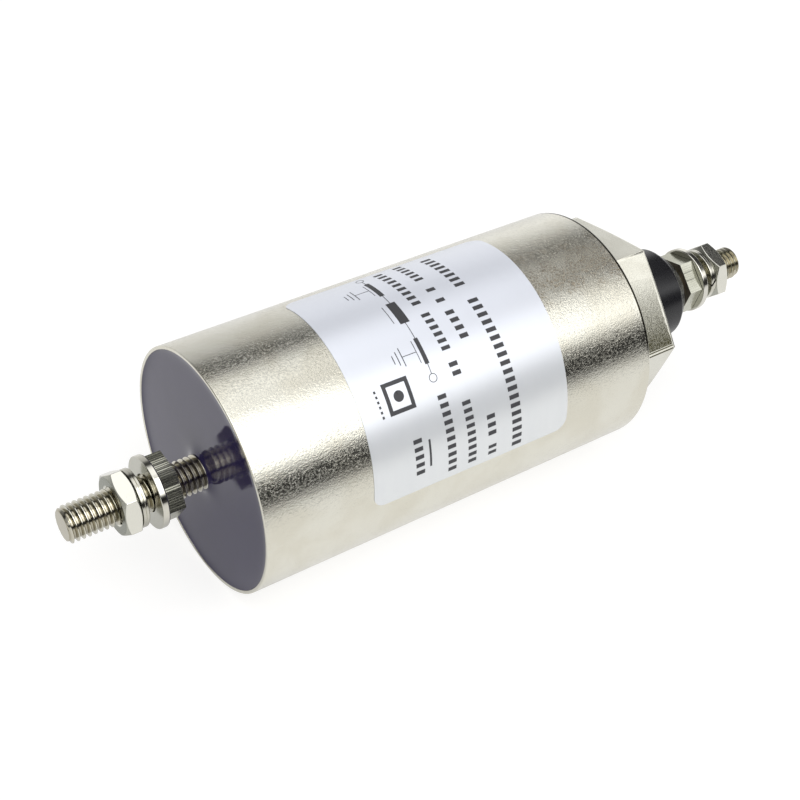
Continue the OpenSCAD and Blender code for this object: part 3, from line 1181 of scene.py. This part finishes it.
@dataclass
class Terminal(Assembly):
    """One threaded end's nuts, flat washer and spring washer."""

    side: Side
    inner_turn: float
    outer_turn: float
    split_turn: float
    apothem: float = 6.5
    chamfer_slope: float = math.tan(math.radians(30))
    edge_bevel: float = 0.12
    face_r: float = 6.15
    bore_r: float = 4.05
    sink_r: float = 4.45
    washer_r: float = 8.0
    washer_hole_r: float = 4.2
    spring_r: float = 6.4
    spring_hole_r: float = 4.1
    spring_rise: float = 0.16
    rib_depth: float = 0.036
    seam_depth: float = 0.1
    split_w: float = 0.4
    split_slant: float = math.radians(40)

    HOLE_EDGE = 0.12
    RIM_EDGE = 0.25
    SPRING_HOLE_EDGE = 0.15
    SPRING_RIM_EDGE = 0.2
    SPRING_STEPS = 144

    def node(self, what: str) -> str:
        """Full name of this end's CAD node, from what stands after its side."""
        return f"{self.side.name.lower()}_{what}"

    def nut(self, what: str, turn: float, chamfered: bool) -> Object:
        """A thin hexagon nut, chamfered on both faces or milled square.

        Args:
            what: The node that it stands for, without its side.
            turn: Angle of a corner, in degrees.
            chamfered: Whether its corners are chamfered.

        Returns:
            The nut as an object.
        """
        start, end = reach_of(self.node(what))
        slope = self.chamfer_slope if chamfered else 0.0
        edge, sink = slope * (self.apothem - self.face_r), self.sink_r - self.bore_r
        bm = hexagon(self.apothem, turn, [
            (start + sink, self.bore_r, False), (start, self.sink_r, False), (start, self.face_r, False),
            (start + edge, slope, True), (end - edge, -slope, True), (end, self.face_r, False),
            (end, self.sink_r, False), (end - sink, self.bore_r, False)], 0.0 if chamfered else self.rib_depth)
        item = finish_mesh(self.node(what) + "_body", bm, sharp=20)
        if chamfered:
            soften(item, self.edge_bevel)
        return item

    def flat_washer(self) -> Object:
        """A punched flat washer with softly rounded edges.

        Returns:
            The washer as an object.
        """
        start, end = reach_of(self.node("flat_washer"))
        hole, rim = (self.washer_hole_r, self.HOLE_EDGE), (self.washer_r, self.RIM_EDGE)
        return turned_piece(self.node("flat_washer") + "_body", rounded([
            (start, *hole), (start, *rim), (end, *rim), (end, *hole)]), sharp=40)

    def spring_washer(self) -> Object:
        """A helical spring washer with one slanted split.

        Returns:
            The washer as an object.
        """
        start, end = reach_of(self.node("spring_washer"))
        middle, half = (start + end) / 2, (end - start - self.spring_rise) / 2
        hole, rim = (self.spring_hole_r, self.SPRING_HOLE_EDGE), (self.spring_r, self.SPRING_RIM_EDGE)
        seam = self.seam_depth
        section = rounded([(-half, *hole), (-half, *rim), (-seam, self.spring_r, 0.0),
                           (0.0, self.spring_r - seam, 0.0), (seam, self.spring_r, 0.0), (half, *rim), (half, *hole)])
        mean = (self.spring_r + self.spring_hole_r) / 2
        gap = self.split_w / math.cos(self.split_slant) / mean
        rings = []
        for i in range(self.SPRING_STEPS + 1):
            t = i / self.SPRING_STEPS
            angle = math.radians(self.split_turn) + gap / 2 + (TURN - gap) * t
            rings.append([on_axis(middle + x + self.spring_rise * (0.5 - t), r,
                                  angle - x * math.tan(self.split_slant) / mean) for x, r in section])
        bm = bmesh.new()
        bridge(bm, rings, False)
        return finish_mesh(self.node("spring_washer") + "_body", bm, sharp=35)

    def build(self) -> None:
        """Builds this end's pieces."""
        self.shop.seat(self.nut("inner_nut", self.inner_turn, False), "milled_nut_plate", self.node("inner_nut"))
        self.shop.seat(self.flat_washer(), "washer_plate", self.node("flat_washer"))
        self.shop.seat(self.spring_washer(), "spring_plate", self.node("spring_washer"))
        self.shop.seat(self.nut("outer_nut", self.outer_turn, True), "nut_plate", self.node("outer_nut"))


@dataclass
class Label(Assembly):
    """Film label with rounded corners and generic printed marks, sizes in mm."""

    centre_x: float = -60.6
    centre_angle: float = 218.0
    width: float = 50.6
    sweep: float = 118.5
    corner: float = 3.0
    radius: float = 27.53
    thickness: float = 0.08
    print_t: float = 0.02
    print_sink: float = 0.005
    tilt: float = 0.034
    twist: float = 0.0085
    printed: BMesh = field(default_factory=bmesh.new)

    EVEN_ROWS = 96
    CORNER_ROWS = 10
    COLUMNS = 24
    BAR_STEP = 0.8
    HOOP_STEPS = 32
    LINE = 0.16

    # Plain rows where a maker's text would stand: station, height and step of
    # a block, and the places in each row that hold blocks, in degrees
    ROWS = (
        (-50.0, 2.5, 1.9, ((163.5, 193.5), (200.5, 275.5))),
        (-56.6, 2.1, 1.8, ((160.5, 181.5), (187.0, 191.0), (194.5, 198.5), (202.0, 218.5), (252.5, 264.5),
                            (268.0, 274.5))),
        (-61.9, 2.1, 1.8, ((161.5, 195.5), (199.5, 220.5), (224.5, 232.5), (242.5, 274.5))),
        (-67.1, 2.1, 1.8, ((236.0, 274.5),)),
        (-75.2, 2.1, 1.8, ((250.5, 269.5),)),
        (-81.4, 0.5, 1.1, ((225.0, 238.5),)),
    )
    BLOCK_SHARE = 0.52
    # The circuit: its line's station and place, rings by place and radius,
    # strokes around the can by offset, start, end and width, and the
    # capacitors' places. Each capacitor has strokes by offset, half sweep
    # and width, and a lead by offset and length.
    CIRCUIT_AT = (-67.3, 214.0)
    RINGS = ((163.0, 0.85), (229.0, 0.9))
    STROKES = ((0.0, 165.0, 168.5, LINE), (0.0, 182.5, 188.5, LINE), (0.0, 201.5, 210.0, LINE),
               (0.0, 222.5, 227.0, LINE), (0.0, 168.5, 182.5, 1.15), (0.0, 188.5, 201.5, 2.25),
               (0.0, 210.0, 222.5, 1.0), (-2.35, 189.5, 200.0, LINE))
    CAPACITORS = (175.3, 216.0)
    EARTH = ((-1.25, 5.3, LINE), (-4.8, 4.4, 0.2), (-5.85, 3.2, 0.2), (-6.9, 2.0, 0.2))
    LEAD = (-3.0, 3.5)
    # The frame's bars by offset and size along and around the can, the rings
    # of its spot by radius and line, and a bar by place and size
    FRAME_AT = (-76.5, 231.0)
    FRAME_BARS = ((2.7, 0.0, 0.9, 6.8), (0.0, 2.95, 4.5, 0.9))
    SPOT_RINGS = ((0.3, 0.6), (0.9, 0.6))
    OVERLINE = (-72.5, 260.0, 0.5, 6.2)

    def place(self, u: float, v: float, r: float) -> Vector:
        """The place in metres of u mm along the can and v mm around it from the label's centre, at radius r."""
        return on_axis(self.centre_x + u - v * self.tilt, r,
                       math.radians(self.centre_angle) + (v + u * self.twist) / self.radius)

    def spot(self, x: float, degrees: float) -> Point2:
        """Turns a station on the can and a local angle into the label's u and v."""
        v = math.radians(degrees - self.centre_angle) * self.radius
        return x - self.centre_x + v * self.tilt, v

    def film(self) -> Object:
        """The film itself.

        Returns:
            The film as an object.
        """
        half_u, half_v = self.width / 2, math.radians(self.sweep) * self.radius / 2
        corner_rows = [half_v - self.corner * (1 - math.sin(TURN / 4 * i / self.CORNER_ROWS))
                       for i in range(self.CORNER_ROWS + 1)]
        rows = sorted({-half_v + 2 * half_v * i / self.EVEN_ROWS for i in range(self.EVEN_ROWS + 1)}
                      | {side * v for v in corner_rows for side in (-1, 1)})
        columns, last = self.COLUMNS, len(rows) - 1
        bm = bmesh.new()
        sheets = []
        for r in (self.radius, self.radius + self.thickness):
            sheet = []
            for v in rows:
                over = max(abs(v) - (half_v - self.corner), 0.0)
                reach = half_u - self.corner + math.sqrt(max(self.corner ** 2 - over ** 2, 0.0))
                sheet.append([bm.verts.new(self.place(reach * (2 * j / columns - 1), v, r))
                              for j in range(columns + 1)])
            sheets.append(sheet)
        low, high = sheets
        for i in range(last):
            for j in range(columns):
                for sheet in sheets:
                    bm.faces.new((sheet[i][j], sheet[i][j + 1], sheet[i + 1][j + 1], sheet[i + 1][j]))
            for j in (0, columns):
                bm.faces.new((low[i][j], low[i + 1][j], high[i + 1][j], high[i][j]))
        for i in (0, last):
            for j in range(columns):
                bm.faces.new((low[i][j], low[i][j + 1], high[i][j + 1], high[i][j]))
        return finish_mesh("label_sheet", bm, sharp=40)

    def band(self, middle: float, width: float) -> list[Point2]:
        """Section across a printed line, as place and radius of its corners."""
        low, high = (self.radius + self.thickness + t for t in (-self.print_sink, self.print_t))
        near, far = middle - width / 2, middle + width / 2
        return [(near, low), (far, low), (far, high), (near, high)]

    def bar(self, u: float, v: float, along: float, around: float) -> None:
        """Prints a plain bar.

        Args:
            u: Its centre along the can.
            v: Its centre around the can.
            along: Its size along the can.
            around: Its size around the can.
        """
        steps = max(1, math.ceil(around / self.BAR_STEP))
        places = [v - around / 2 + around * i / steps for i in range(steps + 1)]
        bridge(self.printed, [[self.place(q, at, r) for q, r in self.band(u, along)] for at in places], False)

    def stroke(self, u: float, start: float, end: float, width: float) -> None:
        """Prints a bar around the can, at u, from one local angle to another in degrees."""
        self.bar(u, self.spot(0.0, (start + end) / 2)[1], width, math.radians(end - start) * self.radius)

    def hoop(self, u: float, v: float, radius: float, line: float) -> None:
        """Prints an open circle.

        Args:
            u: Its centre along the can.
            v: Its centre around the can.
            radius: Its mean radius.
            line: Width of its line.
        """
        angles = [TURN * i / self.HOOP_STEPS for i in range(self.HOOP_STEPS)]
        bridge(self.printed, [[self.place(u + q * math.cos(a), v + q * math.sin(a), r)
                               for q, r in self.band(radius, line)] for a in angles], True)

    def rows(self) -> None:
        """Prints plain rows of small blocks that hold no letters."""
        for x, height, step, words in self.ROWS:
            for start, end in words:
                length = math.radians(end - start) * self.radius
                count = max(1, round(length / step))
                for i in range(count):
                    spot = self.spot(x, start + (end - start) * (i + 0.5) / count)
                    self.bar(*spot, height, length / count * self.BLOCK_SHARE)

    def circuit(self) -> None:
        """Prints a generic circuit drawing of a feedthrough filter."""
        u = self.spot(*self.CIRCUIT_AT)[0]
        for degrees, radius in self.RINGS:
            self.hoop(u, self.spot(0.0, degrees)[1], radius, self.LINE)
        for offset, start, end, width in self.STROKES:
            self.stroke(u + offset, start, end, width)
        for middle in self.CAPACITORS:
            self.bar(u + self.LEAD[0], self.spot(0.0, middle)[1], self.LEAD[1], self.LINE)
            for offset, reach, width in self.EARTH:
                self.stroke(u + offset, middle - reach, middle + reach, width)

    def mark(self) -> None:
        """Prints a plain frame with a round spot, and an overline."""
        u, v = self.spot(*self.FRAME_AT)
        for side in (-1, 1):
            for du, dv, along, around in self.FRAME_BARS:
                self.bar(u + side * du, v + side * dv, along, around)
        for radius, line in self.SPOT_RINGS:
            self.hoop(u, v, radius, line)
        x, degrees, along, around = self.OVERLINE
        self.bar(*self.spot(x, degrees), along, around)

    def build(self) -> None:
        """Builds the film and its print."""
        self.shop.seat(self.film(), "label_film", "label")
        self.rows()
        self.circuit()
        self.mark()
        self.shop.seat(finish_mesh("label_print", self.printed, sharp=40), "print_ink", record_slot="label_film")


class Inside(Assembly):
    """The CAD nodes inside the can, which keep their shape."""

    SLOTS = {
        "winding": "film_winding", "winding_tube": "tube_plastic", "rod_contact": "contact_sheet",
        "case_contact": "contact_sheet", "insulating_disc": "disc_board", "choke_disc": "disc_board",
    }
    SINGLE = {"choke_core": "ferrite", "choke_sleeve": "tube_plastic", "case_liner": "liner_paper"}

    def build(self) -> None:
        """Dresses them."""
        paired = {f"{side.name.lower()}_{what}": slot for side in Side for what, slot in self.SLOTS.items()}
        for name, slot in (self.SINGLE | paired).items():
            self.shop.dress(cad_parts[name], slot)
            LOG.info("%s: CAD shape kept, %s", name, slot)


# ---- Studio ----


@dataclass
class Studio:
    """Floor, surroundings, lamp and camera, lengths in mm."""

    eye: Triple = (-215.39, -223.88, 191.98)
    forward: Triple = (0.46085, 0.67050, -0.58142)
    up: Triple = (0.32933, 0.47915, 0.81361)
    lens: float = 66.91
    sensor: float = 36.0
    floor_z: float = -27.52
    floor_size: float = 3000.0
    floor_glow: float = 0.60
    floor_grey: float = 0.30
    seen_glow: float = 0.76
    seen_grey: float = 0.325
    shadow_at: Point2 = (-120.0, 6.0)
    panel_at: Triple = (-150.0, -350.0, 550.0)
    panel_to: Triple = (-50.0, 0.0, 0.0)
    panel_size: Point2 = (500.0, 400.0)
    panel_watts: float = 0.9
    near_clip: float = 10.0

    # Brightness around the rod's direction: angle from straight up, towards
    # +Y, in degrees. SQUARE is for directions nearly square to the rod, the
    # others are for those that lean towards its back end, STEEP the most.
    SQUARE = ((-180, 1.0), (-106, .92), (-101, .05), (-90, .02), (-83, .02), (-79, .1), (-75, .5), (-71, 1.4),
              (-67, 2.0), (-62, 2.1), (-36, 1.9), (-24, 1.1), (-20, .95), (-12, 1.1), (-6, 1.3), (4, 1.3),
              (12, 1.2), (17, 1.05), (21, .85), (25, .4), (29, .1), (34, .06), (40, .08), (45, .2), (50, .42),
              (56, .55), (76, .7), (92, .78), (106, .88), (120, 1.0), (180, 1.0))
    LEANING = ((-180, 1.0), (-128, .86), (-120, .77), (-112, .62), (-104, .35), (-100, .12), (-96, .05),
               (-92, .03), (-84, .02), (-80, .04), (-76, .09), (-71, .2), (-64, .9), (-59, 1.5), (-40, 1.62),
               (-28, 1.45), (-24, 1.15), (-20, .8), (-16, .48), (-12, .38), (-8, .35), (8, .5), (12, .44),
               (20, .24), (32, .19), (36, .26), (44, .43), (64, .83), (80, 1.02), (104, 1.1), (180, 1.0))
    STEEP = ((-180, .95), (-107, .85), (-102, .1), (-92, .03), (-80, .04), (-73, .2), (-67, .9), (-60, 1.5),
             (-50, 1.2), (-41, .3), (-34, .04), (0, .02), (30, .03), (44, .3), (58, 1.1), (80, 1.2),
             (180, .95))
    BRIGHTEST = 2.5
    # Ranges of how far a direction points along the rod: where the rows meet,
    # and where the room dims towards the front
    TO_LEANING = (0.37, 0.58)
    TO_STEEP = (0.612, 0.638)
    FRONT_DIM = (-0.62, -0.48, 0.35)
    # How the floor dims in what is reflected: towards the front, and near
    # the part
    FRONT_FADE = (-270.0, -70.0, 0.06)
    SHADOW_FADE = (6.0, 38.0, 0.7)

    def floor(self) -> None:
        """A plain pale floor that looks white and keeps a soft shadow."""
        mesh = bpy.data.meshes.new("studio_floor")
        half = self.floor_size / 2 * MM
        mesh.from_pydata([(x * half, y * half, self.floor_z * MM) for x, y in ((-1, -1), (1, -1), (1, 1), (-1, 1))],
                         [], [(0, 1, 2, 3)])
        made = bpy.data.materials.new("studio_floor")
        graph = Graph(blank(made))
        seen = graph.add("ShaderNodeLightPath").outputs["Is Camera Ray"]
        away = graph.add("ShaderNodeVectorMath", {0: graph.place(), 1: (*self.shadow_at, self.floor_z)},
                         operation="DISTANCE").outputs[1]
        fade = graph.mul(graph.span(graph.axes()[1], *self.FRONT_FADE, smooth=True),
                         graph.span(away, *self.SHADOW_FADE, smooth=True))
        level = graph.blend(seen, graph.mul(fade, self.floor_glow), self.seen_glow)
        white = graph.add("ShaderNodeEmission", {"Color": (1.0, 0.995, 0.985, 1.0), "Strength": level})
        grey = graph.blend(seen, graph.mul(fade, self.floor_grey), self.seen_grey)
        shade = graph.add("ShaderNodeBsdfDiffuse", {
            "Color": graph.add("ShaderNodeCombineColor", dict.fromkeys(range(3), grey)).outputs[0]})
        both = graph.add("ShaderNodeAddShader", {0: white.outputs[0], 1: shade.outputs[0]})
        graph.add("ShaderNodeOutputMaterial", {0: both.outputs[0]})
        mesh.materials.append(made)
        linked("studio_floor", mesh)

    def surroundings(self) -> None:
        """White room with dark gaps between its soft panels, white to the camera."""
        world = bpy.data.worlds.new("studio")
        graph = Graph(blank(world))
        part = graph.axes(graph.add("ShaderNodeTexCoord").outputs["Generated"])
        share = graph.plus(graph.math("DIVIDE", graph.math("ARCTAN2", part[1], part[2]), TURN), 0.5)
        square, leaning, steep = (graph.ramp(share, [(a / 360 + 0.5, w / self.BRIGHTEST) for a, w in row])
                                  for row in (self.SQUARE, self.LEANING, self.STEEP))
        near = graph.tint(graph.span(part[0], *self.TO_LEANING), square, leaning)
        level = graph.mul(graph.tint(graph.span(part[0], *self.TO_STEEP), near, steep), self.BRIGHTEST,
                          graph.span(part[0], *self.FRONT_DIM))
        seen = graph.add("ShaderNodeLightPath").outputs["Is Camera Ray"]
        sky = graph.add("ShaderNodeBackground", {"Color": (1.0, 1.0, 1.0, 1.0),
                                                 "Strength": graph.blend(seen, level, 1.0)})
        graph.add("ShaderNodeOutputWorld", {0: sky.outputs[0]})
        bpy.context.scene.world = world

    def lamps(self) -> None:
        """One large soft panel above the front, for gentle shadows."""
        lamp = bpy.data.lights.new("soft_panel", "AREA")
        lamp.shape = "RECTANGLE"
        lamp.size, lamp.size_y = (side * MM for side in self.panel_size)
        lamp.energy = self.panel_watts
        lamp.specular_factor = 0.0
        item = linked("soft_panel", lamp)
        item.location = Vector(self.panel_at) * MM
        aim = Vector(self.panel_to) * MM - item.location
        item.rotation_euler = aim.to_track_quat("-Z", "Y").to_euler()

    def camera(self) -> None:
        """The camera at its place and angle."""
        data = bpy.data.cameras.new("camera")
        data.lens, data.sensor_width = self.lens, self.sensor
        data.clip_start = self.near_clip * MM
        back, top = -Vector(self.forward).normalized(), Vector(self.up).normalized()
        turn = Matrix((top.cross(back), top, back)).transposed()
        item = linked("camera", data)
        item.matrix_world = Matrix.Translation(Vector(self.eye) * MM) @ turn.to_4x4()
        bpy.context.scene.camera = item

    def build(self) -> None:
        """Sets everything up."""
        bpy.context.scene.view_settings.view_transform = "Standard"
        self.floor()
        self.surroundings()
        self.lamps()
        self.camera()


def main() -> None:
    """Builds every sub-assembly in order."""
    logging.basicConfig(level=logging.INFO, format="%(name)s: %(message)s")
    Studio().build()
    shop = Shop()
    for assembly in (
            Can(shop), Fitting(shop), Insulator(shop), Rod(shop),
            Terminal(shop, Side.FRONT, inner_turn=39.5, outer_turn=55.5, split_turn=60.0),
            Terminal(shop, Side.BACK, inner_turn=20.5, outer_turn=51.5, split_turn=262.0),
            Label(shop), Inside(shop)):
        assembly.build()


if __name__ == "__main__":
    main()
